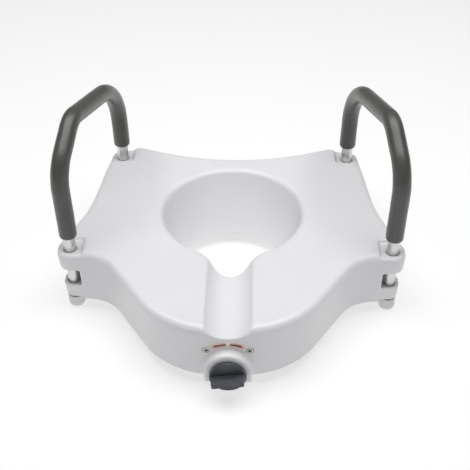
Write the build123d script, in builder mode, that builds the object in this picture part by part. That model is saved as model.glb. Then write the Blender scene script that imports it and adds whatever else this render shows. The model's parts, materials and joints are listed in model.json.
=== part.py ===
"""Raised toilet seat with a front clamp and two lift-out padded arms.

Millimetres, +Z up, -Y towards the front, +X to the right of someone looking at the front.
The origin is the centre of the footprint, at the level of the four hand screws' tips.
"""
import math
import os

from build123d import *

os.makedirs("parts", exist_ok=True)

# ---------------------------------------------------------------- levels
DECK_TOP = 123.0
RING_TOP = 118.0
REAR_RING_TOP = 114.5
SKIRT_BOTTOM = 22.0
RING_BOTTOM = 28.0
WINDOW_TOP = 86.0
WINDOW_BOTTOM = 54.0
PAD_FACE = 25.0

# ---------------------------------------------------------------- shell
WALL = 4.0
DRAFT_INSET = 8.0
EDGE_ROUND = 12.0
DECK_UNDERSIDE = DECK_TOP - WALL

# ---------------------------------------------------------------- legs
FRONT_LEG = (255.0, -35.0)
REAR_LEG = (201.0, 229.0)
FRONT_RING_R = 21.7
REAR_RING_R = 20.5
BORE_R = 9.9
LIP_R = 6.5
LIP_H = 3.0

# ---------------------------------------------------------------- arm tubes
TUBE_R = 9.525
TUBE_IN_R = 8.0
GRIP_R = 14.2
GRIP_END = RING_TOP + 25.0
KNEE_Z = RING_TOP + 144.0
CREST_OUT = 74.0
CREST_Z = RING_TOP + 195.0
HEEL_Z = RING_TOP + 147.0
KNEE_R = 65.0
CREST_R = 38.0
HEEL_R = 90.0
LEAN_START_Z = GRIP_END + 16.0
LEAN = 0.022
LEAN_R = 200.0

# ---------------------------------------------------------------- opening and trough
OPEN_TOP_R = 115.0
OPEN_TOP_Y = 66.0
OPEN_LOW_R = 93.0
OPEN_LOW_Y = 34.5
TIP_Y = -50.0
TIP_TOP_R = 33.0
TIP_LOW_R = 24.0
NECK_R = 60.0
TROUGH_R = 42.0
TROUGH_FLOOR = RING_TOP - 14.0
TROUGH_LIP = 20.0

# ---------------------------------------------------------------- clamp
SCREW_Z = 45.5
BOSS_R = 35.5
BOSS_Z = 47.5
BOSS_FACE_Y = -234.0
BOSS_WALL = 6.0
KNOB_R = 27.5
KNOB_BACK_Y = BOSS_FACE_Y - 0.8
KNOB_FACE_Y = KNOB_BACK_Y - 6.0
KNOB_FRONT_Y = -256.65
KNOB_TILT = -7.0
KNOB_BAR_HALF = 4.75
SHAFT_FRONT_Y = -247.5
SHAFT_STEP_Y = -238.0
SHAFT_TIP_R = 3.5
CROSS_PIN_Y = -243.8
JOURNAL_R = 5.0
THREAD_R = 7.0
THREAD_ROOT_R = 5.2
THREAD_PITCH = 5.0
COLLAR_Y = -224.6
THREAD_FRONT_Y = -221.6
THREAD_REAR_Y = -103.0
REAR_JOURNAL_R = 4.0
BRACKET_FRONT_Y = -101.0
BRACKET_REAR_Y = -91.0
BLOCK_FRONT_Y = -129.0
BLOCK_REAR_Y = -104.0
RAIL_IN_X = 22.0
RAIL_W = 4.0
RAIL_BOTTOM = 34.0
JAW_BOTTOM = 6.0

# ---------------------------------------------------------------- rim supports
FRONT_REST = (115.0, -95.0)
REAR_REST = (155.0, 125.0)
FLANGE_Y = 140.0
FLANGE_BOTTOM = 13.0
FLANGE_SCREWS = (40.0, 157.0)
BRACKET_SCREWS = (36.0, -96.0)

# ---------------------------------------------------------------- hand screws
STUD_R = 3.95
STUD_TOP = 47.0
HAND_R = 13.5
HAND_TOP = 25.9
WASHER_R = 13.0

# half of the plan outline, front centre to rear centre: x, y, corner radius
HALF_PLAN = (
    (0.0, -222.0, 0.0),
    (58.0, -222.0, 140.0),
    (120.0, -183.0, 140.0),
    (202.0, FRONT_LEG[1] - FRONT_RING_R, 60.0),
    (FRONT_LEG[0] + FRONT_RING_R, FRONT_LEG[1] - FRONT_RING_R, FRONT_RING_R),
    (FRONT_LEG[0] + FRONT_RING_R, FRONT_LEG[1] + 10.0, 30.0),
    (240.0, 70.0, 300.0),
    (220.6, 252.0, REAR_RING_R),
    (171.0, 258.2, 25.0),
    (67.2, 220.5, 380.0),
    (0.0, 220.5, 0.0),
)


def plan_corners(inset):
    """Corners and corner radii of the half plan, moved inwards by inset."""
    sides = []
    for (x0, y0, _), (x1, y1, _) in zip(HALF_PLAN[:-1], HALF_PLAN[1:]):
        length = math.hypot(x1 - x0, y1 - y0)
        ux, uy = (x1 - x0) / length, (y1 - y0) / length
        sides.append((x0 - uy * inset, y0 + ux * inset, ux, uy))
    corners = [(0.0, HALF_PLAN[0][1] + inset)]
    radii = []
    for before, after, corner in zip(sides[:-1], sides[1:], HALF_PLAN[1:-1]):
        turn = before[2] * after[3] - before[3] * after[2]
        along = ((after[0] - before[0]) * after[3] - (after[1] - before[1]) * after[2]) / turn
        corners.append((before[0] + before[2] * along, before[1] + before[3] * along))
        radii.append(corner[2] - inset if turn > 0 else corner[2] + inset)
    corners.append((0.0, HALF_PLAN[-1][1] - inset))
    return corners, radii


def plan_face(z, inset):
    """The whole plan outline as a face at height z."""
    corners, radii = plan_corners(inset)
    with BuildSketch(Plane.XY.offset(z)) as plan:
        with BuildLine():
            FilletPolyline(*corners, radius=radii)
            mirror(about=Plane.YZ)
        make_face()
    return plan.sketch


def skirt_inset(z):
    """How far the drafted skirt stands in at height z."""
    return DRAFT_INSET * (DECK_TOP - z) / (DECK_TOP - SKIRT_BOTTOM)


def egg_face(z, grow):
    """Egg-shaped section of the opening at height z, grown by grow: a big arc, two necks and a round tip."""
    share = (z - SKIRT_BOTTOM) / (DECK_TOP - SKIRT_BOTTOM)
    big_r = OPEN_LOW_R + share * (OPEN_TOP_R - OPEN_LOW_R) + grow
    big_y = OPEN_LOW_Y + share * (OPEN_TOP_Y - OPEN_LOW_Y)
    tip_r = TIP_LOW_R + share * (TIP_TOP_R - TIP_LOW_R) + grow
    neck_r = NECK_R - grow
    to_big = big_r + neck_r
    to_tip = tip_r + neck_r
    neck_y = (big_y**2 - TIP_Y**2 - to_big**2 + to_tip**2) / (2 * (big_y - TIP_Y))
    neck_x = math.sqrt(to_tip**2 - (neck_y - TIP_Y) ** 2)
    big_join = (neck_x * big_r / to_big, big_y + (neck_y - big_y) * big_r / to_big)
    tip_join = (neck_x * tip_r / to_tip, TIP_Y + (neck_y - TIP_Y) * tip_r / to_tip)
    way_x = (big_join[0] + tip_join[0]) / 2 - neck_x
    way_y = (big_join[1] + tip_join[1]) / 2 - neck_y
    reach = neck_r / math.hypot(way_x, way_y)
    neck_mid = (neck_x + way_x * reach, neck_y + way_y * reach)
    with BuildSketch(Plane.XY.offset(z)) as egg:
        with BuildLine():
            ThreePointArc(big_join, (0, big_y + big_r), (-big_join[0], big_join[1]))
            ThreePointArc((-big_join[0], big_join[1]), (-neck_mid[0], neck_mid[1]), (-tip_join[0], tip_join[1]))
            ThreePointArc((-tip_join[0], tip_join[1]), (0, TIP_Y - tip_r), tip_join)
            ThreePointArc(tip_join, neck_mid, big_join)
        make_face()
    return egg.sketch


def trough_face(grow):
    """Cross-section of the front trough, open upwards, grown by grow."""
    lip = TROUGH_LIP - grow
    with BuildSketch(Plane.XZ) as section:
        with Locations((0, TROUGH_FLOOR + TROUGH_R)):
            Circle(TROUGH_R + grow)
        with Locations((0, DECK_TOP - grow + 20)):
            Rectangle(160, 40)
        joins = [v for v in section.vertices() if abs(v.Z - (DECK_TOP - grow)) < 0.01 and abs(v.X) < 60]
        fillet(joins, radius=lip)
    return section.sketch


def at_y(y):
    """Vertical plane at y whose normal points to the rear."""
    return Plane(origin=(0, y, 0), x_dir=(-1, 0, 0), z_dir=(0, 1, 0))


def both_sides(point):
    return [(point[0], point[1]), (-point[0], point[1])]


def arch_face(y, radius, bottom):
    """Round-topped boss section, with straight sides down to bottom."""
    with BuildSketch(at_y(y)) as arch:
        with Locations((0, BOSS_Z)):
            Circle(radius)
        with Locations((0, (BOSS_Z + bottom) / 2)):
            Rectangle(2 * radius, BOSS_Z - bottom)
        with Locations((0, bottom - radius)):
            Rectangle(4 * radius, 2 * radius, mode=Mode.SUBTRACT)
    return arch.sketch


# ================================================================ seat body
# the trough and the opening, as tools for the cuts below
with BuildPart() as trough_cut:
    add(trough_face(0.0).moved(Location((0, -50, 0))))
    extrude(amount=-190, dir=(0, 1, 0))
with BuildPart() as trough_skin:
    add(trough_face(WALL - 0.7).moved(Location((0, -50, 0))))
    extrude(amount=-190, dir=(0, 1, 0))
with BuildPart() as opening_cut:
    add(egg_face(SKIRT_BOTTOM - 12, 0.0))
    add(egg_face(DECK_TOP + 12, 0.0))
    loft(ruled=True)
with BuildPart() as opening_skin:
    add(egg_face(SKIRT_BOTTOM - 12, WALL))
    add(egg_face(DECK_TOP + 12, WALL))
    loft(ruled=True)

# the hollow under the deck, with everything that hangs from the deck left standing
with BuildPart() as hollow:
    add(plan_face(SKIRT_BOTTOM - 10, skirt_inset(SKIRT_BOTTOM - 10) + WALL))
    add(plan_face(DECK_UNDERSIDE, skirt_inset(DECK_UNDERSIDE) + WALL))
    loft(ruled=True)
    fillet(hollow.faces().sort_by(Axis.Z)[-1].edges(), radius=EDGE_ROUND - WALL)
    add(opening_skin.part, mode=Mode.SUBTRACT)
    add(trough_skin.part, mode=Mode.SUBTRACT)
    # solid roots of the front rings
    with Locations((FRONT_LEG[0] + 7, FRONT_LEG[1] + 3, 60), (-FRONT_LEG[0] - 7, FRONT_LEG[1] + 3, 60)):
        Box(52, 62, 160, mode=Mode.SUBTRACT)
    # rear corner bosses, and full thickness under the steps beside all four rings
    with Locations(*[(x, y, 60) for x, y in both_sides(REAR_LEG)]):
        Cylinder(REAR_RING_R, 160, mode=Mode.SUBTRACT)
    with Locations((215.0, 238.0, REAR_RING_TOP + 13), (-215.0, 238.0, REAR_RING_TOP + 13)):
        Box(76, 68, 40, mode=Mode.SUBTRACT)
    with Locations((260.0, -38.0, RING_TOP + 15), (-260.0, -38.0, RING_TOP + 15)):
        Box(60, 60, 40, mode=Mode.SUBTRACT)
    # rails beside the clamp block
    with Locations(
        (RAIL_IN_X + RAIL_W / 2, -162, RAIL_BOTTOM + 60),
        (-RAIL_IN_X - RAIL_W / 2, -162, RAIL_BOTTOM + 60),
    ):
        Box(RAIL_W, 116, 120, mode=Mode.SUBTRACT)
    # columns for the bracket and flange screws
    with Locations(*[(x, y, 40.0 + 60) for x, y in both_sides(BRACKET_SCREWS)]):
        Cylinder(6.0, 120, mode=Mode.SUBTRACT)
    with Locations(*[(x, y, 38.0 + 60) for x, y in both_sides(FLANGE_SCREWS)]):
        Cylinder(6.0, 120, mode=Mode.SUBTRACT)
    # ribbed rests over the rim pads
    for rest in (FRONT_REST, REAR_REST):
        with Locations(*[(x, y, PAD_FACE + 7.0) for x, y in both_sides(rest)]):
            Box(64, 30, 4, mode=Mode.SUBTRACT)
        with Locations(*[(x, y, PAD_FACE + 69.0) for x, y in both_sides(rest)]):
            Box(60, 4, 122, mode=Mode.SUBTRACT)
            Box(4, 28, 122, mode=Mode.SUBTRACT)

with BuildPart() as seat_body:
    add(plan_face(SKIRT_BOTTOM, skirt_inset(SKIRT_BOTTOM)))
    add(plan_face(DECK_TOP, 0.0))
    loft(ruled=True)
    fillet(seat_body.faces().sort_by(Axis.Z)[-1].edges(), radius=EDGE_ROUND)
    # boss behind the knob
    add(arch_face(BOSS_FACE_Y, BOSS_R, RING_BOTTOM))
    extrude(amount=32, dir=(0, 1, 0))
    fillet(
        seat_body.edges().filter_by(lambda e: abs(e.center().Y - BOSS_FACE_Y) < 0.01), radius=3.5
    )
    add(hollow.part, mode=Mode.SUBTRACT)
    # room for the screw collar inside the boss
    add(arch_face(BOSS_FACE_Y + BOSS_WALL, BOSS_R - 6, RING_BOTTOM + 5))
    extrude(amount=24, dir=(0, 1, 0), mode=Mode.SUBTRACT)
    # opening with its soft rim, then the trough
    add(opening_cut.part, mode=Mode.SUBTRACT)
    rim = [
        e
        for e in seat_body.edges().filter_by(lambda e: abs(e.center().Z - DECK_TOP) < 0.01)
        if abs(e.bounding_box().max.X) < OPEN_TOP_R + 3 and abs(e.bounding_box().min.X) < OPEN_TOP_R + 3
        and e.bounding_box().max.Y < OPEN_TOP_Y + OPEN_TOP_R + 3 and e.bounding_box().min.Y > -90
    ]
    fillet(rim, radius=EDGE_ROUND)
    add(trough_cut.part, mode=Mode.SUBTRACT)
    # steps down to the rings
    for side in (1, -1):
        with Locations((side * 264.0, -38.0, RING_TOP + 10)):
            Box(60, 50, 20, mode=Mode.SUBTRACT)
        with Locations((side * 215.0, 238.0, REAR_RING_TOP + 10)):
            Box(68, 60, 20, mode=Mode.SUBTRACT)
        # gap between the upper and lower front ring
        with Locations((side * 271.0, -40.0, (WINDOW_TOP + WINDOW_BOTTOM) / 2)):
            Box(60, 50, WINDOW_TOP - WINDOW_BOTTOM, mode=Mode.SUBTRACT)
        # flat undersides of the rings
        with Locations((side * 268.0, -36.0, RING_BOTTOM - 10), (side * 212.0, 238.0, RING_BOTTOM - 10)):
            Box(56, 64, 20, mode=Mode.SUBTRACT)
        # bores for the tubes, with a lip that the tube end stands over
        for leg in (FRONT_LEG, REAR_LEG):
            with Locations((side * leg[0], leg[1], RING_BOTTOM + LIP_H)):
                Cylinder(BORE_R, 120, align=(Align.CENTER, Align.CENTER, Align.MIN), mode=Mode.SUBTRACT)
            with Locations((side * leg[0], leg[1], RING_BOTTOM - 5)):
                Cylinder(LIP_R, 20, align=(Align.CENTER, Align.CENTER, Align.MIN), mode=Mode.SUBTRACT)
    # soft mouths of the bores
    mouths = seat_body.edges().filter_by(GeomType.CIRCLE).filter_by(
        lambda e: abs(e.radius - BORE_R) < 0.01
        and (abs(e.center().Z - RING_TOP) < 0.01 or abs(e.center().Z - REAR_RING_TOP) < 0.01)
    )
    fillet(mouths, radius=2.4)
    # bushing hole and pilot holes
    with Locations(Location((0, BOSS_FACE_Y - 1, SCREW_Z), (-90, 0, 0))):
        Cylinder(8.0, 12, align=(Align.CENTER, Align.CENTER, Align.MIN), mode=Mode.SUBTRACT)
    with Locations(*[(x, y, 40.0) for x, y in both_sides(BRACKET_SCREWS)]):
        Cylinder(1.65, 16, align=(Align.CENTER, Align.CENTER, Align.MIN), mode=Mode.SUBTRACT)
    with Locations(*[(x, y, 38.0) for x, y in both_sides(FLANGE_SCREWS)]):
        Cylinder(1.65, 16, align=(Align.CENTER, Align.CENTER, Align.MIN), mode=Mode.SUBTRACT)
seat_body.part.label = "seat_body"
export_step(seat_body.part, "parts/seat_body.step")

# sticker that follows the drafted skirt above the knob
LABEL_MID_Z = 92.5
LABEL_BEND_R = 47.0
LABEL_H = 13.0
LABEL_HALF = 40.0
LABEL_T = 0.35
with BuildPart() as direction_label:
    add(plan_face(SKIRT_BOTTOM, skirt_inset(SKIRT_BOTTOM) - LABEL_T))
    add(plan_face(DECK_TOP, -LABEL_T))
    loft(ruled=True)
    with BuildSketch(at_y(-250)) as band:
        with Locations((0, LABEL_MID_Z - LABEL_BEND_R)):
            Circle(LABEL_BEND_R + LABEL_H / 2)
            Circle(LABEL_BEND_R - LABEL_H / 2, mode=Mode.SUBTRACT)
        with Locations((0, LABEL_MID_Z)):
            Rectangle(2 * LABEL_HALF, LABEL_BEND_R, mode=Mode.INTERSECT)
    extrude(amount=60, dir=(0, 1, 0), mode=Mode.INTERSECT)
    with BuildPart(mode=Mode.PRIVATE) as skirt_core:
        add(plan_face(SKIRT_BOTTOM, skirt_inset(SKIRT_BOTTOM)))
        add(plan_face(DECK_TOP, 0.0))
        loft(ruled=True)
    add(skirt_core.part, mode=Mode.SUBTRACT)
direction_label.part.label = "direction_label"
export_step(direction_label.part, "parts/direction_label.step")

# ================================================================ rim pads, flange, bracket
for name, rest in (("front", FRONT_REST), ("rear", REAR_REST)):
    for hand, side in (("right", 1), ("left", -1)):
        with BuildPart() as rim_pad:
            with BuildSketch(Plane.XY.offset(PAD_FACE)):
                with Locations((side * rest[0], rest[1])):
                    RectangleRounded(60, 26, 5)
            extrude(amount=5)
        rim_pad.part.label = f"{name}_{hand}_rim_pad"
        export_step(rim_pad.part, f"parts/{name}_{hand}_rim_pad.step")

with BuildPart() as rear_flange:
    with BuildSketch(Plane.XY.offset(34.0)):
        with Locations((0, FLANGE_Y + 15)):
            RectangleRounded(104, 30, 4)
        with Locations(*both_sides(FLANGE_SCREWS)):
            Circle(2.2, mode=Mode.SUBTRACT)
    extrude(amount=4)
    with BuildSketch(Plane.XY.offset(FLANGE_BOTTOM)):
        with Locations((0, FLANGE_Y + 3.5)):
            Rectangle(90, 5)
    extrude(amount=34.0 - FLANGE_BOTTOM)
    with BuildSketch(Plane.YZ.offset(-32)) as web:
        with BuildLine():
            Polyline((FLANGE_Y + 6, 34), (FLANGE_Y + 20, 34), (FLANGE_Y + 6, 18), close=True)
        make_face()
    extrude(amount=4)
    extrude(web.sketch.moved(Location((60, 0, 0))), amount=4)
rear_flange.part.label = "rear_flange"
export_step(rear_flange.part, "parts/rear_flange.step")

with BuildPart() as rear_bearing_bracket:
    with Locations((0, (BRACKET_FRONT_Y + BRACKET_REAR_Y) / 2, 38.0)):
        Box(90, BRACKET_REAR_Y - BRACKET_FRONT_Y, 4)
    with Locations((0, (BRACKET_FRONT_Y + BRACKET_REAR_Y) / 2, 44.0)):
        Box(26, BRACKET_REAR_Y - BRACKET_FRONT_Y, 25)
    with Locations(Location((0, BRACKET_FRONT_Y - 1, SCREW_Z), (-90, 0, 0))):
        Cylinder(REAR_JOURNAL_R + 0.06, 14, align=(Align.CENTER, Align.CENTER, Align.MIN), mode=Mode.SUBTRACT)
    with Locations(*[(x, y, 38.0) for x, y in both_sides(BRACKET_SCREWS)]):
        Cylinder(2.2, 10, mode=Mode.SUBTRACT)
rear_bearing_bracket.part.label = "rear_bearing_bracket"
export_step(rear_bearing_bracket.part, "parts/rear_bearing_bracket.step")

for name, spots, seat_z in (
    ("bracket_screws", BRACKET_SCREWS, 36.0),
    ("flange_screws", FLANGE_SCREWS, 34.0),
):
    with BuildPart() as screws:
        with Locations(*[(x, y, seat_z) for x, y in both_sides(spots)]):
            Cylinder(1.6, 15, align=(Align.CENTER, Align.CENTER, Align.MIN))
            Cylinder(4.0, 2.6, align=(Align.CENTER, Align.CENTER, Align.MAX))
        with Locations(*[(x, y, seat_z - 2.6) for x, y in both_sides(spots)]):
            Box(5.0, 0.9, 2.4, mode=Mode.SUBTRACT)
            Box(0.9, 5.0, 2.4, mode=Mode.SUBTRACT)
    screws.part.label = name
    export_step(screws.part, f"parts/{name}.step")

# ================================================================ clamp screw and knob
with BuildPart() as worm_screw:
    with BuildSketch(Plane.YZ):
        with BuildLine():
            points = [(SHAFT_FRONT_Y, SCREW_Z), (SHAFT_FRONT_Y, SCREW_Z + SHAFT_TIP_R)]
            points += [(SHAFT_STEP_Y, SCREW_Z + SHAFT_TIP_R), (SHAFT_STEP_Y, SCREW_Z + JOURNAL_R)]
            points += [(COLLAR_Y, SCREW_Z + JOURNAL_R), (COLLAR_Y, SCREW_Z + 10)]
            points += [(THREAD_FRONT_Y, SCREW_Z + 10), (THREAD_FRONT_Y, SCREW_Z + THREAD_ROOT_R)]
            y = THREAD_FRONT_Y + 1.5
            while y + THREAD_PITCH < THREAD_REAR_Y:
                points += [
                    (y, SCREW_Z + THREAD_ROOT_R),
                    (y + 1.0, SCREW_Z + THREAD_R),
                    (y + 2.2, SCREW_Z + THREAD_R),
                    (y + 3.2, SCREW_Z + THREAD_ROOT_R),
                ]
                y += THREAD_PITCH
            points += [(THREAD_REAR_Y, SCREW_Z + THREAD_ROOT_R), (THREAD_REAR_Y, SCREW_Z + REAR_JOURNAL_R)]
            points += [(-89.9, SCREW_Z + REAR_JOURNAL_R), (-89.9, SCREW_Z + 3.2)]
            points += [(-88.8, SCREW_Z + 3.2), (-88.8, SCREW_Z + REAR_JOURNAL_R)]
            points += [(-86.0, SCREW_Z + REAR_JOURNAL_R), (-86.0, SCREW_Z)]
            Polyline(*points, close=True)
        make_face()
    revolve(axis=Axis((0, 0, SCREW_Z), (0, 1, 0)), revolution_arc=360)
    with Locations(Location((0, CROSS_PIN_Y, SCREW_Z), (0, KNOB_TILT, 0))):
        Cylinder(1.55, 20, mode=Mode.SUBTRACT)
worm_screw.part.label = "worm_screw"
export_step(worm_screw.part, "parts/worm_screw.step")

with BuildPart() as retaining_clip:
    with Locations(Location((0, -89.8, SCREW_Z), (-90, 0, 0))):
        Cylinder(7.0, 0.9, align=(Align.CENTER, Align.CENTER, Align.MIN))
        Cylinder(3.3, 0.9, align=(Align.CENTER, Align.CENTER, Align.MIN), mode=Mode.SUBTRACT)
    with Locations((0, -89.35, SCREW_Z - 5)):
        Box(5.4, 2, 10, mode=Mode.SUBTRACT)
retaining_clip.part.label = "retaining_clip"
export_step(retaining_clip.part, "parts/retaining_clip.step")

with BuildPart() as thrust_washer:
    with Locations(Location((0, -225.7, SCREW_Z), (-90, 0, 0))):
        Cylinder(11.0, 1.0, align=(Align.CENTER, Align.CENTER, Align.MIN))
        Cylinder(5.15, 1.0, align=(Align.CENTER, Align.CENTER, Align.MIN), mode=Mode.SUBTRACT)
thrust_washer.part.label = "thrust_washer"
export_step(thrust_washer.part, "parts/thrust_washer.step")

with BuildPart() as front_bushing:
    with Locations(Location((0, BOSS_FACE_Y, SCREW_Z), (-90, 0, 0))):
        Cylinder(7.96, BOSS_WALL, align=(Align.CENTER, Align.CENTER, Align.MIN))
    with Locations(Location((0, BOSS_FACE_Y + BOSS_WALL, SCREW_Z), (-90, 0, 0))):
        Cylinder(12.0, 2.0, align=(Align.CENTER, Align.CENTER, Align.MIN))
    with Locations(Location((0, BOSS_FACE_Y - 1, SCREW_Z), (-90, 0, 0))):
        Cylinder(JOURNAL_R + 0.06, 12, align=(Align.CENTER, Align.CENTER, Align.MIN), mode=Mode.SUBTRACT)
front_bushing.part.label = "front_bushing"
export_step(front_bushing.part, "parts/front_bushing.step")

with BuildPart() as clamp_knob:
    with Locations(Location((0, KNOB_FACE_Y, SCREW_Z), (-90, 0, 0))):
        Cylinder(KNOB_R, KNOB_BACK_Y - KNOB_FACE_Y, align=(Align.CENTER, Align.CENTER, Align.MIN))
    fillet(clamp_knob.edges().filter_by(GeomType.CIRCLE), radius=1.6)
    # butterfly bar, proud at its ends and notched in the middle
    with BuildSketch(Plane(origin=(0, 0, SCREW_Z - KNOB_BAR_HALF), z_dir=(0, 0, 1))):
        with BuildLine():
            Polyline(
                (-25.0, KNOB_FACE_Y + 2),
                (-24.0, KNOB_FRONT_Y + 1),
                (-17.0, KNOB_FRONT_Y),
                (0.0, KNOB_FRONT_Y + 6.5),
                (17.0, KNOB_FRONT_Y),
                (24.0, KNOB_FRONT_Y + 1),
                (25.0, KNOB_FACE_Y + 2),
                close=True,
            )
        make_face()
    extrude(amount=2 * KNOB_BAR_HALF)
    # stepped blind bore for the shaft, and the cross hole that stops short of the top of the bar
    for start_y, stop_y, radius in (
        (KNOB_BACK_Y + 1, SHAFT_STEP_Y - 0.1, JOURNAL_R + 0.04),
        (SHAFT_STEP_Y, SHAFT_FRONT_Y - 0.1, SHAFT_TIP_R + 0.04),
    ):
        with Locations(Location((0, start_y, SCREW_Z), (90, 0, 0))):
            Cylinder(
                radius, start_y - stop_y, align=(Align.CENTER, Align.CENTER, Align.MIN), mode=Mode.SUBTRACT
            )
    with Locations((0, CROSS_PIN_Y, SCREW_Z - 1.2)):
        Cylinder(1.55, 10, mode=Mode.SUBTRACT)
tilted_knob = clamp_knob.part.rotate(Axis((0, 0, SCREW_Z), (0, 1, 0)), KNOB_TILT)
tilted_knob.label = "clamp_knob"
export_step(tilted_knob, "parts/clamp_knob.step")

with BuildPart() as knob_cross_pin:
    with Locations(Location((0, CROSS_PIN_Y, SCREW_Z), (0, KNOB_TILT, 0))):
        with Locations((0, 0, -0.4)):
            Cylinder(1.5, 8.0)
knob_cross_pin.part.label = "knob_cross_pin"
export_step(knob_cross_pin.part, "parts/knob_cross_pin.step")

# ================================================================ clamp block and jaw
with BuildPart() as clamp_block:
    with Locations((0, (BLOCK_FRONT_Y + BLOCK_REAR_Y) / 2, 45.5)):
        Box(2 * RAIL_IN_X - 0.8, BLOCK_REAR_Y - BLOCK_FRONT_Y, 25)
    with Locations((0, BLOCK_FRONT_Y + 4, (33.0 + JAW_BOTTOM) / 2)):
        Box(64, 8, 33.0 - JAW_BOTTOM)
    with BuildSketch(Plane.YZ.offset(-16)) as gusset:
        with BuildLine():
            Polyline((BLOCK_FRONT_Y + 8, 33), (BLOCK_REAR_Y - 2, 33), (BLOCK_FRONT_Y + 8, 12), close=True)
        make_face()
    extrude(amount=5)
    extrude(gusset.sketch.moved(Location((27, 0, 0))), amount=5)
    with Locations(Location((0, BLOCK_FRONT_Y - 1, SCREW_Z), (-90, 0, 0))):
        Cylinder(THREAD_R + 0.08, 40, align=(Align.CENTER, Align.CENTER, Align.MIN), mode=Mode.SUBTRACT)
clamp_block.part.label = "clamp_block"
export_step(clamp_block.part, "parts/clamp_block.step")

with BuildPart() as jaw_pad:
    with Locations((0, BLOCK_FRONT_Y - 2, 18.0)):
        Box(60, 4, 22)
    with Locations(*[(0, BLOCK_FRONT_Y - 4, 10.0 + 4.0 * i) for i in range(5)]):
        Box(60, 2, 1.4, mode=Mode.SUBTRACT)
jaw_pad.part.label = "jaw_pad"
export_step(jaw_pad.part, "parts/jaw_pad.step")

# ================================================================ arms
span = math.hypot(REAR_LEG[0] - FRONT_LEG[0], REAR_LEG[1] - FRONT_LEG[1])
toe_in = ((REAR_LEG[0] - FRONT_LEG[0]) / span, (REAR_LEG[1] - FRONT_LEG[1]) / span)
TUBE_END = RING_BOTTOM + LIP_H + 0.3


def arm_point(along, z):
    """Point of the arm's route, which leans outwards above LEAN_START_Z."""
    out = LEAN * max(0.0, z - LEAN_START_Z)
    return Vector(
        FRONT_LEG[0] + toe_in[0] * along + toe_in[1] * out,
        FRONT_LEG[1] + toe_in[1] * along - toe_in[0] * out,
        z,
    )


def rounded_route(points, radii):
    """Straight runs joined by tangent arcs at the inner points."""
    start = points[0]
    for before, corner, after, radius in zip(points, points[1:], points[2:], radii):
        back = (before - corner).normalized()
        ahead = (after - corner).normalized()
        half = math.acos(back.dot(ahead)) / 2
        centre = corner + (back + ahead).normalized() * (radius / math.sin(half))
        arc_start = corner + back * (radius / math.tan(half))
        arc_stop = corner + ahead * (radius / math.tan(half))
        arc_mid = centre + (corner - centre).normalized() * radius
        Line(start, arc_start)
        ThreePointArc(arc_start, arc_mid, arc_stop)
        start = arc_stop
    Line(start, points[-1])


def arm_sweep(end_z, outer_r, inner_r):
    """A round tube bent along the arm, with both ends at end_z."""
    corners = [
        arm_point(0, end_z),
        arm_point(0, LEAN_START_Z),
        arm_point(0, KNEE_Z),
        arm_point(CREST_OUT, CREST_Z),
        arm_point(span, HEEL_Z),
        arm_point(span, LEAN_START_Z),
        arm_point(span, end_z),
    ]
    with BuildPart() as swept:
        with BuildLine() as route:
            rounded_route(corners, [LEAN_R, KNEE_R, CREST_R, HEEL_R, LEAN_R])
        with BuildSketch(Plane(origin=(FRONT_LEG[0], FRONT_LEG[1], end_z), z_dir=(0, 0, 1))):
            Circle(outer_r)
            Circle(inner_r, mode=Mode.SUBTRACT)
        sweep(path=route.wires()[0])
    return swept


arm_tube = arm_sweep(TUBE_END, TUBE_R, TUBE_IN_R)
arm_grip = arm_sweep(GRIP_END, GRIP_R, TUBE_R + 0.02)
with BuildPart() as grip_shape:
    add(arm_grip.part)
    chamfer(
        grip_shape.edges().filter_by(GeomType.CIRCLE).filter_by(
            lambda e: abs(e.radius - GRIP_R) < 0.01 and abs(e.center().Z - GRIP_END) < 0.01
        ),
        length=2.2,
    )
with BuildPart() as arm_inserts:
    for leg in (FRONT_LEG, REAR_LEG):
        with Locations((leg[0], leg[1], TUBE_END + 0.2)):
            Cylinder(TUBE_IN_R - 0.03, 24, align=(Align.CENTER, Align.CENTER, Align.MIN))
            Cylinder(STUD_R + 0.08, 24, align=(Align.CENTER, Align.CENTER, Align.MIN), mode=Mode.SUBTRACT)

for hand in ("right", "left"):
    for name, solid in (
        ("arm_tube", arm_tube.part),
        ("arm_grip", grip_shape.part),
        ("arm_inserts", arm_inserts.part),
    ):
        placed = solid if hand == "right" else solid.mirror(Plane.YZ)
        placed.label = f"{hand}_{name}"
        export_step(placed, f"parts/{hand}_{name}.step")

# ================================================================ hand screws
with BuildPart() as hand_knob:
    with BuildSketch(Plane.XZ):
        with BuildLine():
            Polyline((0, 0), (5.0, 0))
            ThreePointArc((5.0, 0), (11.2, 4.0), (HAND_R, 11.5))
            Polyline((HAND_R, 11.5), (HAND_R, HAND_TOP - 0.8), (HAND_R - 0.8, HAND_TOP), (0, HAND_TOP), (0, 0))
        make_face()
    revolve(axis=Axis.Z, revolution_arc=360)
    with Locations((0, 0, 10)):
        Cylinder(STUD_R + 0.05, 20, align=(Align.CENTER, Align.CENTER, Align.MIN), mode=Mode.SUBTRACT)
with BuildPart() as hand_stud:
    with Locations((0, 0, 10.2)):
        Cylinder(STUD_R, STUD_TOP - 10.2, align=(Align.CENTER, Align.CENTER, Align.MIN))
    chamfer(hand_stud.edges().sort_by(Axis.Z)[-1], length=0.8)
with BuildPart() as hand_washer:
    with Locations((0, 0, HAND_TOP + 0.3)):
        Cylinder(WASHER_R, 1.5, align=(Align.CENTER, Align.CENTER, Align.MIN))
        Cylinder(STUD_R + 0.45, 1.5, align=(Align.CENTER, Align.CENTER, Align.MIN), mode=Mode.SUBTRACT)

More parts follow.
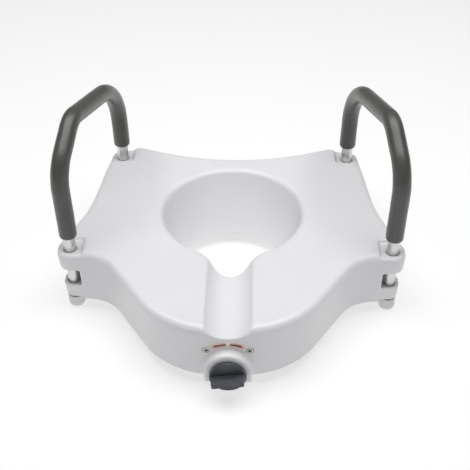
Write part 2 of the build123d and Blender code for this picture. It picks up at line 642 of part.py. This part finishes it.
for row, leg in (("front", FRONT_LEG), ("rear", REAR_LEG)):
    for hand, side in (("right", 1), ("left", -1)):
        for name, solid in (
            ("hand_knob", hand_knob.part),
            ("hand_stud", hand_stud.part),
            ("hand_washer", hand_washer.part),
        ):
            placed = solid.moved(Location((side * leg[0], leg[1], 0)))
            placed.label = f"{row}_{hand}_{name}"
            export_step(placed, f"parts/{row}_{hand}_{name}.step")
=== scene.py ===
"""Finished look of the raised toilet seat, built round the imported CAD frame. Metres, +Z up, front towards -Y."""

import json
import math

import bmesh
import bpy
import numpy as np
from mathutils import Matrix, Vector
from mathutils.bvhtree import BVHTree


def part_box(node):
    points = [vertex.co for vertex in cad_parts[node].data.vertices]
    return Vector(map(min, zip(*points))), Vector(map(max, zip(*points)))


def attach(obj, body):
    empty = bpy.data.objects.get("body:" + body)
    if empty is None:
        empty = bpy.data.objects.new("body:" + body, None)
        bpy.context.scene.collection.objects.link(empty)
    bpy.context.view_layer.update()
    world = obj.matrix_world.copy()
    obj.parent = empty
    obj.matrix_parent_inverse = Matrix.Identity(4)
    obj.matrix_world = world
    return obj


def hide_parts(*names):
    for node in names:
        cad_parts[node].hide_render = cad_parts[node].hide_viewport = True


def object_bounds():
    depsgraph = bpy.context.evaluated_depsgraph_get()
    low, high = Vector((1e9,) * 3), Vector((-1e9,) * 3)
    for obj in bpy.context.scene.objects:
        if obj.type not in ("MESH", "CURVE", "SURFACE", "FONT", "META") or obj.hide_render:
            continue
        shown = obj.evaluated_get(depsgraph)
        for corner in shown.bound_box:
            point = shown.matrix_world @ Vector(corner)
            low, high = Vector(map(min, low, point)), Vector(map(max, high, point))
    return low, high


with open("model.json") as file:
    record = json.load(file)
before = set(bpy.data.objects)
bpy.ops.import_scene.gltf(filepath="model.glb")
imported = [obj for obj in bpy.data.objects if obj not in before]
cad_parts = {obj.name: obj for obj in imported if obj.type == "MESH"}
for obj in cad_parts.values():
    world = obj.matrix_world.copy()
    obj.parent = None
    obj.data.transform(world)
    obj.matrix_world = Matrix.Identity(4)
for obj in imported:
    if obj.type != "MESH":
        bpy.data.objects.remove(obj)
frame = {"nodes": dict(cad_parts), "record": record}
cad_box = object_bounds()
NODES = frame["nodes"]
BODY_OF = {n: b for b, members in frame["record"]["behaviour"]["bodies"].items() for n in members}
SLOT_OF = {row["node"]: row["material_slot"] for row in frame["record"]["subparts"]}
MM = 0.001


# ---------------------------------------------------------------- mesh helpers
def new_object(name, mesh):
    obj = bpy.data.objects.new(name, mesh)
    bpy.context.scene.collection.objects.link(obj)
    return obj


def mesh_from(name, verts, faces):
    mesh = bpy.data.meshes.new(name)
    mesh.from_pydata([tuple(v) for v in verts], [], [tuple(f) for f in faces])
    mesh.update()
    return new_object(name, mesh)


def copy_of(node, name):
    """A separate object with a welded copy of a CAD node's mesh."""
    mesh = NODES[node].data.copy()
    mesh.name = name
    bm = bmesh.new()
    bm.from_mesh(mesh)
    bmesh.ops.remove_doubles(bm, verts=bm.verts, dist=0.002 * MM)
    bm.to_mesh(mesh)
    bm.free()
    for attribute in [a for a in mesh.attributes if a.name == "custom_normal"]:
        mesh.attributes.remove(attribute)
    mesh.materials.clear()
    return new_object(name, mesh)


def bake_modifiers(obj):
    """Makes the modified mesh the object's own mesh."""
    graph = bpy.context.evaluated_depsgraph_get()
    mesh = bpy.data.meshes.new_from_object(obj.evaluated_get(graph))
    old = obj.data
    obj.modifiers.clear()
    obj.data = mesh
    bpy.data.meshes.remove(old)
    return obj


def smooth_shading(obj, sharp_deg=None):
    """Smooth shading, with edges over sharp_deg kept sharp where it is given."""
    obj.data.polygons.foreach_set("use_smooth", [True] * len(obj.data.polygons))
    if sharp_deg is not None:
        obj.data.set_sharp_from_angle(angle=math.radians(sharp_deg))
    obj.data.update()
    return obj


def softened(node, name, voxel, rounds, keep=1.0, softer=None, softer_rounds=0):
    """A CAD node remeshed evenly and relaxed, so that its edges turn into moulded rounds.

    softer gives each vertex a weight for extra rounds of relaxing.
    """
    obj = copy_of(node, name)
    remesh = obj.modifiers.new("even", "REMESH")
    remesh.mode = "VOXEL"
    remesh.voxel_size = voxel
    if softer:
        bake_modifiers(obj)
        co = np.empty(len(obj.data.vertices) * 3, np.float32)
        obj.data.vertices.foreach_get("co", co)
        weights = softer(co.reshape(-1, 3).astype(float) / MM)
        group = obj.vertex_groups.new(name="softer")
        for index in np.nonzero(weights > 0.02)[0]:
            group.add([int(index)], float(weights[index]), "REPLACE")
        local = obj.modifiers.new("softer", "SMOOTH")
        local.factor = 0.5
        local.iterations = softer_rounds
        local.vertex_group = "softer"
    relax = obj.modifiers.new("relax", "SMOOTH")
    relax.factor = 0.5
    relax.iterations = rounds
    if keep < 1.0:
        thin = obj.modifiers.new("thin", "DECIMATE")
        thin.ratio = keep
    return smooth_shading(bake_modifiers(obj))


def eased(node, name, width):
    """A CAD node with small bevels on its hard edges."""
    obj = copy_of(node, name)
    bm = bmesh.new()
    bm.from_mesh(obj.data)
    bmesh.ops.dissolve_limit(bm, angle_limit=math.radians(0.5), verts=bm.verts, edges=bm.edges)
    bm.to_mesh(obj.data)
    bm.free()
    bevel = obj.modifiers.new("ease", "BEVEL")
    bevel.width = width
    bevel.segments = 2
    bevel.limit_method = "ANGLE"
    bevel.angle_limit = math.radians(38)
    return smooth_shading(bake_modifiers(obj), 32)


def stand_for(piece, node, material):
    """Gives the piece its material and has it replace the CAD node on the same body."""
    piece.data.materials.clear()
    piece.data.materials.append(material)
    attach(piece, BODY_OF[node])
    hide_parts(node)
    return piece


# ---------------------------------------------------------------- materials
class Finish:
    """A procedural material: principled shader, object coordinates in metres."""

    def __init__(self, name, colour, roughness, **sockets):
        self.material = bpy.data.materials.new(name)
        self.material.use_nodes = True
        self.tree = self.material.node_tree
        self.shader = next(n for n in self.tree.nodes if n.type == "BSDF_PRINCIPLED")
        self.shader.inputs["Base Color"].default_value = (*colour, 1.0)
        self.shader.inputs["Roughness"].default_value = roughness
        for socket, value in sockets.items():
            self.shader.inputs[socket.replace("_", " ")].default_value = value
        self.place = self.tree.nodes.new("ShaderNodeTexCoord").outputs["Object"]
        self.normal = None

    def link(self, a, b):
        self.tree.links.new(a, b)

    def stretched(self, scale):
        mapping = self.tree.nodes.new("ShaderNodeMapping")
        mapping.inputs["Scale"].default_value = scale
        self.link(self.place, mapping.inputs["Vector"])
        return mapping.outputs["Vector"]

    def noise(self, scale, detail=3.0, rough=0.5, stretch=None):
        node = self.tree.nodes.new("ShaderNodeTexNoise")
        node.inputs["Scale"].default_value = scale
        node.inputs["Detail"].default_value = detail
        node.inputs["Roughness"].default_value = rough
        self.link(self.stretched(stretch) if stretch else self.place, node.inputs["Vector"])
        return node.outputs["Fac"]

    def cells(self, scale, randomness=1.0):
        node = self.tree.nodes.new("ShaderNodeTexVoronoi")
        node.feature = "SMOOTH_F1"
        node.inputs["Scale"].default_value = scale
        node.inputs["Randomness"].default_value = randomness
        self.link(self.place, node.inputs["Vector"])
        return node.outputs["Distance"]

    def spread(self, value, low, high, start=0.3, stop=0.7):
        node = self.tree.nodes.new("ShaderNodeMapRange")
        node.inputs["From Min"].default_value = start
        node.inputs["From Max"].default_value = stop
        node.inputs["To Min"].default_value = low
        node.inputs["To Max"].default_value = high
        self.link(value, node.inputs["Value"])
        return node.outputs["Result"]

    def colours(self, value, *stops):
        ramp = self.tree.nodes.new("ShaderNodeValToRGB")
        bar = ramp.color_ramp
        while len(bar.elements) < len(stops):
            bar.elements.new(0.5)
        for element, (at, colour) in zip(bar.elements, stops):
            element.position = at
            element.color = (*colour, 1.0)
        self.link(value, ramp.inputs["Fac"])
        self.link(ramp.outputs["Color"], self.shader.inputs["Base Color"])
        self.ramp = ramp
        return self

    def worn(self, colour, start, stop, share):
        """Shifts the colour a little along convex edges."""
        geometry = self.tree.nodes.new("ShaderNodeNewGeometry")
        amount = self.spread(geometry.outputs["Pointiness"], 0.0, share, start, stop)
        mix = self.tree.nodes.new("ShaderNodeMixRGB")
        mix.inputs["Color2"].default_value = (*colour, 1.0)
        self.link(amount, mix.inputs["Fac"])
        self.link(self.ramp.outputs["Color"], mix.inputs["Color1"])
        self.link(mix.outputs["Color"], self.shader.inputs["Base Color"])
        return self

    def gloss(self, value, low, high):
        self.link(self.spread(value, low, high), self.shader.inputs["Roughness"])
        return self

    def bump(self, value, distance, strength=1.0, invert=False):
        node = self.tree.nodes.new("ShaderNodeBump")
        node.inputs["Distance"].default_value = distance
        node.inputs["Strength"].default_value = strength
        node.invert = invert
        self.link(value, node.inputs["Height"])
        if self.normal is not None:
            self.link(self.normal, node.inputs["Normal"])
        self.normal = node.outputs["Normal"]
        self.link(self.normal, self.shader.inputs["Normal"])
        return self


def shade(colour, by):
    return tuple(min(1.0, c * by) for c in colour)


def moulded(name, colour, roughness, grain_scale, grain_depth, vary):
    """Moulded plastic: faint tone changes, uneven gloss, orange peel and a fine grain."""
    f = Finish(name, colour, roughness)
    f.colours(f.noise(9.0, 4.0), (0.3, shade(colour, 1 - vary)), (0.7, shade(colour, 1 + vary / 2)))
    f.worn(shade(colour, 1.12), 0.53, 0.62, 0.5)
    f.gloss(f.noise(60.0, 5.0, 0.6), roughness - 0.05, roughness + 0.06)
    f.bump(f.noise(160.0, 2.0), 0.05 * MM, 0.5)
    f.bump(f.noise(grain_scale, 3.0), grain_depth, 0.6)
    return f.material


def metal(name, colour, roughness, along, depth):
    """Metal with fine lines drawn along one axis."""
    f = Finish(name, colour, roughness, Metallic=1.0)
    lines = f.noise(1.0, 4.0, 0.65, stretch=along)
    f.colours(lines, (0.25, shade(colour, 0.86)), (0.75, shade(colour, 1.07)))
    f.gloss(f.noise(35.0, 4.0), roughness - 0.07, roughness + 0.09)
    f.bump(lines, depth, 0.5)
    return f.material


def rubbery(name, colour, roughness, scale, depth):
    """Matt rubber with a coarse grain."""
    f = Finish(name, colour, roughness)
    f.colours(f.noise(40.0, 4.0), (0.3, shade(colour, 0.85)), (0.7, shade(colour, 1.12)))
    f.gloss(f.noise(90.0, 3.0), roughness - 0.06, roughness + 0.06)
    f.bump(f.noise(scale, 4.0, 0.6), depth, 0.8)
    return f.material


def foam_finish():
    """Closed-cell foam skin: dark olive grey, fine open cells, faint dusty sheen."""
    tone = (0.064, 0.063, 0.056)
    f = Finish("foam", tone, 0.48)
    f.shader.inputs["Sheen Weight"].default_value = 0.12
    f.shader.inputs["Coat Weight"].default_value = 0.35
    f.shader.inputs["Coat Roughness"].default_value = 0.27
    f.shader.inputs["Sheen Roughness"].default_value = 0.45
    f.shader.inputs["Sheen Tint"].default_value = (0.75, 0.75, 0.72, 1.0)
    cells = f.cells(1150.0)
    f.colours(f.noise(24.0, 5.0, 0.6), (0.28, shade(tone, 0.86)), (0.72, shade(tone, 1.16)))
    f.gloss(f.noise(140.0, 4.0), 0.34, 0.46)
    f.bump(cells, 0.22 * MM, 0.55, invert=True)
    f.bump(f.noise(420.0, 4.0, 0.65), 0.20 * MM, 0.45)
    f.bump(f.noise(45.0, 3.0), 0.5 * MM, 0.25)
    return f.material


BODY_WHITE = moulded("body_plastic", (0.80, 0.80, 0.815), 0.36, 900.0, 0.03 * MM, 0.02)
HAND_WHITE = moulded("hand_screw_plastic", (0.74, 0.74, 0.755), 0.34, 1400.0, 0.03 * MM, 0.04)
KNOB_SLATE = moulded("knob_plastic", (0.050, 0.056, 0.066), 0.40, 1500.0, 0.05 * MM, 0.10)
NYLON = moulded("mechanism_plastic", (0.36, 0.37, 0.39), 0.48, 1200.0, 0.05 * MM, 0.08)
TUBE_METAL = metal("arm_tube_metal", (0.66, 0.66, 0.655), 0.30, (1500.0, 1500.0, 25.0), 0.02 * MM)
ZINC = metal("plated_steel", (0.62, 0.62, 0.60), 0.32, (700.0, 700.0, 700.0), 0.02 * MM)
PAD_RUBBER = rubbery("pad_rubber", (0.085, 0.085, 0.088), 0.72, 900.0, 0.08 * MM)
FIBRE = rubbery("washer_rubber", (0.10, 0.10, 0.10), 0.66, 1400.0, 0.06 * MM)
FOAM = foam_finish()
FILM = moulded("label_film", (0.80, 0.78, 0.77), 0.30, 1600.0, 0.01 * MM, 0.02)
SALMON = moulded("label_salmon", (0.84, 0.58, 0.50), 0.34, 1600.0, 0.01 * MM, 0.05)
ARROW_INK = moulded("label_arrow_ink", (0.11, 0.030, 0.018), 0.34, 1600.0, 0.01 * MM, 0.08)
BLACK_INK = moulded("label_black_ink", (0.022, 0.022, 0.022), 0.36, 1600.0, 0.01 * MM, 0.08)
BY_SLOT = {
    "body_plastic": BODY_WHITE,
    "label": FILM,
    "pad_rubber": PAD_RUBBER,
    "mechanism_plastic": NYLON,
    "plated_steel": ZINC,
    "knob_plastic": KNOB_SLATE,
    "arm_tube_metal": TUBE_METAL,
    "grip_foam": FOAM,
    "hand_screw_plastic": HAND_WHITE,
    "washer_rubber": FIBRE,
}

# ---------------------------------------------------------------- carried-over CAD nodes
for node, obj in NODES.items():
    obj.data.materials.clear()
    obj.data.materials.append(BY_SLOT[SLOT_OF[node]])

# ---------------------------------------------------------------- seat shell
SHELL_VOXEL = 1.5 * MM
SHELL_ROUNDS, SHELL_KEEP, SHELL_SOFTER_ROUNDS = 6, 0.4, 36
FRONT_RING, REAR_RING = (255, -35), (201, 229)
BOSS_Z = 47.5


def ramp(values, start, stop):
    """Smooth step from 0 at start to 1 at stop; start may be the larger of the two."""
    t = np.clip((values - start) / (stop - start), 0.0, 1.0)
    return t * t * (3.0 - 2.0 * t)


def shell_softness(co):
    """Where the moulding is rounder than its CAD edges: trough ends, steps at the rings, root of the boss.

    co holds the places of the vertices in millimetres. Each region is a product of ramps along x, y and z.
    """
    x, y, z = np.abs(co[:, 0]), co[:, 1], co[:, 2]
    trough_front = ramp(x, 62, 46) * ramp(y, -196, -208) * ramp(z, 97, 102)
    trough_rear = ramp(x, 66, 50) * ramp(y, -104, -92) * ramp(y, -30, -44) * ramp(z, 84, 96)
    from_front = np.hypot(x - FRONT_RING[0], y - FRONT_RING[1])
    from_rear = np.hypot(x - REAR_RING[0], y - REAR_RING[1])
    clear_of_bores = ramp(from_front, 13, 16) * ramp(from_rear, 13, 16)
    front_step = ramp(x, 222, 230) * ramp(x, 276, 262) * ramp(y, 6, -4) * ramp(z, 106, 112)
    rear_step = ramp(x, 166, 176) * ramp(y, 192, 204) * ramp(z, 102, 108)
    steps = np.maximum(front_step, rear_step) * clear_of_bores
    from_boss = np.hypot(x, np.maximum(z - BOSS_Z, 0))
    boss_root = ramp(from_boss, 30, 34) * ramp(from_boss, 42, 38)
    boss_root = boss_root * ramp(y, -233, -230) * ramp(y, -208, -212) * ramp(z, 24, 30)
    return np.maximum.reduce([trough_front, trough_rear, 0.8 * steps, 0.7 * boss_root])


shell = softened(
    "seat_body",
    "seat_shell",
    SHELL_VOXEL,
    SHELL_ROUNDS,
    SHELL_KEEP,
    shell_softness,
    SHELL_SOFTER_ROUNDS,
)
stand_for(shell, "seat_body", BODY_WHITE)

# ---------------------------------------------------------------- foam grips
FOAM_VOXEL = 1.3 * MM
RIPPLE_HEIGHT = 0.55 * MM
ripple = bpy.data.textures.new("foam_ripple", "CLOUDS")
ripple.noise_scale = 0.022
ripple.noise_depth = 2
for hand in ("right", "left"):
    grip = softened(f"{hand}_arm_grip", f"{hand}_foam_grip", FOAM_VOXEL, 9, 0.6)
    wave = grip.modifiers.new("wave", "DISPLACE")
    wave.texture = ripple
    wave.texture_coords = "LOCAL"
    wave.strength = RIPPLE_HEIGHT
    wave.mid_level = 0.62
    smooth_shading(bake_modifiers(grip))
    stand_for(grip, f"{hand}_arm_grip", FOAM)

# ---------------------------------------------------------------- knob and hand screws
KNOB_VOXEL, DOME_VOXEL = 0.42 * MM, 0.55 * MM
stand_for(softened("clamp_knob", "turning_knob", KNOB_VOXEL, 4, 0.5), "clamp_knob", KNOB_SLATE)
for node in sorted(NODES):
    if node.endswith("hand_knob"):
        dome = softened(node, node.replace("hand_knob", "domed_screw"), DOME_VOXEL, 3, 0.6)
        stand_for(dome, node, HAND_WHITE)

# ---------------------------------------------------------------- parts with eased edges
SMALL_EASE = 0.35 * MM
EASED = {
    "clamp_block": 0.7 * MM,
    "rear_flange": 0.6 * MM,
    "rear_bearing_bracket": 0.6 * MM,
    "jaw_pad": 0.3 * MM,
    "bracket_screws": 0.3 * MM,
    "flange_screws": 0.3 * MM,
}
for node, width in EASED.items():
    stand_for(eased(node, f"{node}_finished", width), node, BY_SLOT[SLOT_OF[node]])
for node in sorted(NODES):
    if node.endswith("rim_pad") or node.endswith("hand_washer"):
        stand_for(eased(node, f"{node}_finished", SMALL_EASE), node, BY_SLOT[SLOT_OF[node]])

# ---------------------------------------------------------------- clamp screw with a real thread
screw_low, screw_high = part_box("worm_screw")
SCREW_Z = (screw_low.z + screw_high.z) / 2
THREAD_PITCH = 5.0 * MM
THREAD_START = -220.2 * MM
THREAD_STOP = -103.2 * MM
ROOT_R = 5.2 * MM
CREST_R = 6.9 * MM
SHAFT_R, JOURNAL_R, REAR_JOURNAL_R = 3.5 * MM, 5.0 * MM, 4.0 * MM
COLLAR_R, COLLAR_EASE, END_EASE = 10.0 * MM, 0.3 * MM, 0.4 * MM
SHAFT_STEP_Y = -238.0 * MM
COLLAR_FRONT_Y, COLLAR_BACK_Y = -224.6 * MM, -221.6 * MM
ROOT_END_Y = -103.0 * MM
GROOVE_FRONT_Y, GROOVE_BACK_Y, GROOVE_R = -89.9 * MM, -88.8 * MM, 3.2 * MM
REAR_END_Y = -86.0 * MM
THREAD_STEPS = 360
SCREW_SIDES = 40


def thread_radius(y, angle):
    """Radius of a right-handed trapezoid thread that fades in and out at its ends."""
    phase = ((y - THREAD_START) / THREAD_PITCH - angle / (2 * math.pi)) % 1.0
    flank = min(phase, 1.0 - phase) * 2.0
    height = min(1.0, max(0.0, (flank - 0.35) / 0.30))
    fade = min(1.0, (y - THREAD_START) / THREAD_PITCH, (THREAD_STOP - y) / THREAD_PITCH)
    return ROOT_R + (CREST_R - ROOT_R) * height * max(0.0, fade)


def clamp_screw():
    """The clamp screw turned from its profile: shaft, journal, collar, thread, rear journal, clip groove."""
    front = screw_low.y
    stations = [(front, 0.0), (front, SHAFT_R - END_EASE), (front + END_EASE, SHAFT_R)]
    stations += [(SHAFT_STEP_Y, SHAFT_R), (SHAFT_STEP_Y, JOURNAL_R)]
    stations += [(COLLAR_FRONT_Y, JOURNAL_R), (COLLAR_FRONT_Y, COLLAR_R - COLLAR_EASE)]
    stations += [(COLLAR_FRONT_Y + COLLAR_EASE, COLLAR_R), (COLLAR_BACK_Y - COLLAR_EASE, COLLAR_R)]
    stations += [(COLLAR_BACK_Y, COLLAR_R - COLLAR_EASE), (COLLAR_BACK_Y, ROOT_R)]
    length = THREAD_STOP - THREAD_START
    stations += [(THREAD_START + length * i / THREAD_STEPS, None) for i in range(THREAD_STEPS + 1)]
    stations += [(ROOT_END_Y, ROOT_R), (ROOT_END_Y, REAR_JOURNAL_R), (GROOVE_FRONT_Y, REAR_JOURNAL_R)]
    stations += [(GROOVE_FRONT_Y, GROOVE_R), (GROOVE_BACK_Y, GROOVE_R), (GROOVE_BACK_Y, REAR_JOURNAL_R)]
    stations += [(REAR_END_Y - END_EASE, REAR_JOURNAL_R), (REAR_END_Y, REAR_JOURNAL_R - END_EASE)]
    stations += [(REAR_END_Y, 0.0)]
    verts, faces = [], []
    for y, radius in stations:
        for i in range(SCREW_SIDES):
            angle = 2 * math.pi * i / SCREW_SIDES
            r = max(radius, 0.02 * MM) if radius is not None else thread_radius(y, angle)
            verts.append((r * math.sin(angle), y, SCREW_Z + r * math.cos(angle)))
    for row in range(len(stations) - 1):
        for i in range(SCREW_SIDES):
            a, b = row * SCREW_SIDES + i, row * SCREW_SIDES + (i + 1) % SCREW_SIDES
            faces.append((a, a + SCREW_SIDES, b + SCREW_SIDES, b))
    obj = mesh_from("clamp_screw", verts, faces)
    bm = bmesh.new()
    bm.from_mesh(obj.data)
    bmesh.ops.remove_doubles(bm, verts=bm.verts, dist=0.03 * MM)
    bmesh.ops.holes_fill(bm, edges=[e for e in bm.edges if e.is_boundary])
    bmesh.ops.recalc_face_normals(bm, faces=bm.faces)
    bm.to_mesh(obj.data)
    bm.free()
    return smooth_shading(obj, 40)


stand_for(clamp_screw(), "worm_screw", ZINC)

# ---------------------------------------------------------------- marks printed on the label
label_low, label_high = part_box("direction_label")
graph = bpy.context.evaluated_depsgraph_get()
label_surface = BVHTree.FromObject(NODES["direction_label"], graph)
ARC_R = 47.0 * MM
ARC_TOP_Z = 92.5 * MM
INK_THICKNESS = 0.06 * MM
PRINT_EDGE = 1.6 * MM
PRINT_CUTS = 4


def on_label(along, across, lift):
    """Point at that distance along and across the label's arc, lifted off its face."""
    angle = along / ARC_R
    x = (ARC_R + across) * math.sin(angle)
    z = ARC_TOP_Z - ARC_R + (ARC_R + across) * math.cos(angle)
    hit = label_surface.ray_cast(Vector((x, label_low.y - 0.05, z)), Vector((0, 1, 0)))[0]
    return Vector((x, (hit.y if hit else label_high.y) - lift, z))


def printed(name, outlines, lift, material):
    """Thin raised print on the label. Each outline is a list of points (along, across)."""
    bm = bmesh.new()
    for outline in outlines:
        bm.faces.new([bm.verts.new((u, v, 0.0)) for u, v in outline])
    bmesh.ops.triangulate(bm, faces=bm.faces)
    for _ in range(PRINT_CUTS):
        long_edges = [e for e in bm.edges if e.calc_length() > PRINT_EDGE]
        if long_edges:
            bmesh.ops.subdivide_edges(bm, edges=long_edges, cuts=1)
            bmesh.ops.triangulate(bm, faces=bm.faces)
    for v in bm.verts:
        v.co = on_label(v.co.x, v.co.y, lift)
    mesh = bpy.data.meshes.new(name)
    bm.to_mesh(mesh)
    bm.free()
    obj = new_object(name, mesh)
    solid = obj.modifiers.new("film", "SOLIDIFY")
    solid.thickness = INK_THICKNESS
    solid.offset = 0.0
    bake_modifiers(obj)
    obj.data.materials.append(material)
    smooth_shading(obj, 30)
    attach(obj, BODY_OF["direction_label"])
    return obj


def capsule(start, stop, half):
    """Outline of a strip with round ends."""
    points = []
    for centre, first in ((stop - half, -90.0), (start + half, 90.0)):
        for i in range(9):
            a = math.radians(first + 22.5 * i)
            points.append((centre + half * math.cos(a), half * math.sin(a)))
    return points


def arrow(tail, tip, half):
    """Outline of an arrow along the label, half as wide as stated on each side of its middle."""
    shaft = half * 0.62
    way = 1.0 if tip > tail else -1.0
    neck = tip - way * 2.6 * half
    return [
        (tail, -shaft),
        (neck, -shaft),
        (neck, -half),
        (tip, 0.0),
        (neck, half),
        (neck, shaft),
        (tail, shaft),
    ]


def ring(cx, cy, outer, inner, start=0.0, stop=360.0, steps=28):
    """Quads that make up a ring or part of one."""
    quads = []
    for i in range(steps):
        a, b = (math.radians(start + (stop - start) * k / steps) for k in (i, i + 1))
        quads.append(
            [
                (cx + outer * math.cos(a), cy + outer * math.sin(a)),
                (cx + outer * math.cos(b), cy + outer * math.sin(b)),
                (cx + inner * math.cos(b), cy + inner * math.sin(b)),
                (cx + inner * math.cos(a), cy + inner * math.sin(a)),
            ]
        )
    return quads


ARROW_INNER, ARROW_OUTER, ARROW_HALF = 3.2 * MM, 23.5 * MM, 2.5 * MM
STRIP_INNER, STRIP_OUTER, STRIP_HALF = ARROW_INNER - 2.2 * MM, ARROW_OUTER + 3.0 * MM, 5.2 * MM
STRIP_LIFT, LOCK_LIFT, ARROW_LIFT = 0.02 * MM, 0.04 * MM, 0.07 * MM
PADLOCK_AT = 35.5 * MM
LOCK_RING_R, LOCK_RING_IN_R = 5.8 * MM, 5.0 * MM
SHACKLE_R, SHACKLE_IN_R, SHACKLE_UP = 2.3 * MM, 1.4 * MM, 0.4 * MM
LOCK_HALF, LOCK_LOW, LOCK_HIGH = 2.8 * MM, -3.1 * MM, 0.5 * MM


def padlock(at):
    """A padlock in a ring, as quads: ring, shackle and body."""
    quads = ring(at, 0.0, LOCK_RING_R, LOCK_RING_IN_R)
    quads += ring(at, SHACKLE_UP, SHACKLE_R, SHACKLE_IN_R, 0.0, 180.0, 10)
    left, right = at - LOCK_HALF, at + LOCK_HALF
    return quads + [[(left, LOCK_LOW), (right, LOCK_LOW), (right, LOCK_HIGH), (left, LOCK_HIGH)]]


for side, name in ((1, "right"), (-1, "left")):
    ends = sorted((side * STRIP_INNER, side * STRIP_OUTER))
    printed(f"salmon_strip_{name}", [capsule(*ends, STRIP_HALF)], STRIP_LIFT, SALMON)
    outline = arrow(side * ARROW_INNER, side * ARROW_OUTER, ARROW_HALF)
    printed(f"arrow_{name}", [outline], ARROW_LIFT, ARROW_INK)
    printed(f"padlock_mark_{name}", padlock(side * PADLOCK_AT), LOCK_LIFT, BLACK_INK)

# ---------------------------------------------------------------- floor, light and camera
ground = cad_box[0].z
FLOOR_HALF = 60.0
corners = [(x * FLOOR_HALF, y * FLOOR_HALF, ground) for x, y in ((-1, -1), (1, -1), (1, 1), (-1, 1))]
floor = mesh_from("floor", corners, [(0, 1, 2, 3)])
floor_finish = Finish("floor", (0.4, 0.4, 0.4), 0.9, Specular_IOR_Level=0.1)
darker, lighter = (0.395, 0.395, 0.395), (0.405, 0.405, 0.405)
floor_finish.colours(floor_finish.noise(3.0), (0.3, darker), (0.7, lighter))
floor_finish.shader.inputs["Emission Color"].default_value = (1, 1, 1, 1)
floor_finish.shader.inputs["Emission Strength"].default_value = 0.63
floor.data.materials.append(floor_finish.material)

scene = bpy.context.scene
scene.view_settings.view_transform = "Standard"
world = scene.world or bpy.data.worlds.new("studio")
scene.world = world
world.use_nodes = True
world.node_tree.nodes["Background"].inputs["Color"].default_value = (0.95, 0.96, 1.0, 1.0)
world.node_tree.nodes["Background"].inputs["Strength"].default_value = 0.10


def softbox(name, place, aim, width, height, power):
    """A rectangular lamp aimed at a point; sizes in metres, power in watts."""
    data = bpy.data.lights.new(name, "AREA")
    data.shape = "RECTANGLE"
    data.size, data.size_y, data.energy = width, height, power
    lamp = bpy.data.objects.new(name, data)
    scene.collection.objects.link(lamp)
    lamp.location = place
    lamp.rotation_mode = "QUATERNION"
    lamp.rotation_quaternion = (Vector(aim) - Vector(place)).to_track_quat("-Z", "Y")


softbox("overhead", (0.0, 0.02, 1.9), (0, 0.05, 0.1), 2.5, 1.25, 41.5)
SPOT_SIZE, SPOT_POWER, SPOT_AIM = 0.35, 0.9, (0, 0, 0.2)
softbox("left_spot", (-1.1, -1.8, 0.75), SPOT_AIM, SPOT_SIZE, SPOT_SIZE, SPOT_POWER)
softbox("right_spot", (1.2, -1.8, 0.75), SPOT_AIM, SPOT_SIZE, SPOT_SIZE, SPOT_POWER)

CAMERA_AT = Vector((0.0355, -1.1737, 1.0541))
CAMERA_PITCH, CAMERA_YAW, CAMERA_ROLL = (math.radians(turn) for turn in (38.5, -1.451, -0.326))
CAMERA_LENS = 71.5
ahead = Vector(
    (
        math.sin(CAMERA_YAW) * math.cos(CAMERA_PITCH),
        math.cos(CAMERA_YAW) * math.cos(CAMERA_PITCH),
        -math.sin(CAMERA_PITCH),
    )
)
level = Vector((math.cos(CAMERA_YAW), -math.sin(CAMERA_YAW), 0.0))
upward = level.cross(ahead)
across = level * math.cos(CAMERA_ROLL) + upward * math.sin(CAMERA_ROLL)
upward = upward * math.cos(CAMERA_ROLL) - level * math.sin(CAMERA_ROLL)
camera_data = bpy.data.cameras.new("camera")
camera_data.lens = CAMERA_LENS
camera_data.sensor_width = 36.0
camera_data.clip_start = 0.05
camera = bpy.data.objects.new("camera", camera_data)
scene.collection.objects.link(camera)
camera.matrix_world = Matrix(
    (
        (across.x, upward.x, -ahead.x, CAMERA_AT.x),
        (across.y, upward.y, -ahead.y, CAMERA_AT.y),
        (across.z, upward.z, -ahead.z, CAMERA_AT.z),
        (0, 0, 0, 1),
    )
)
scene.camera = camera
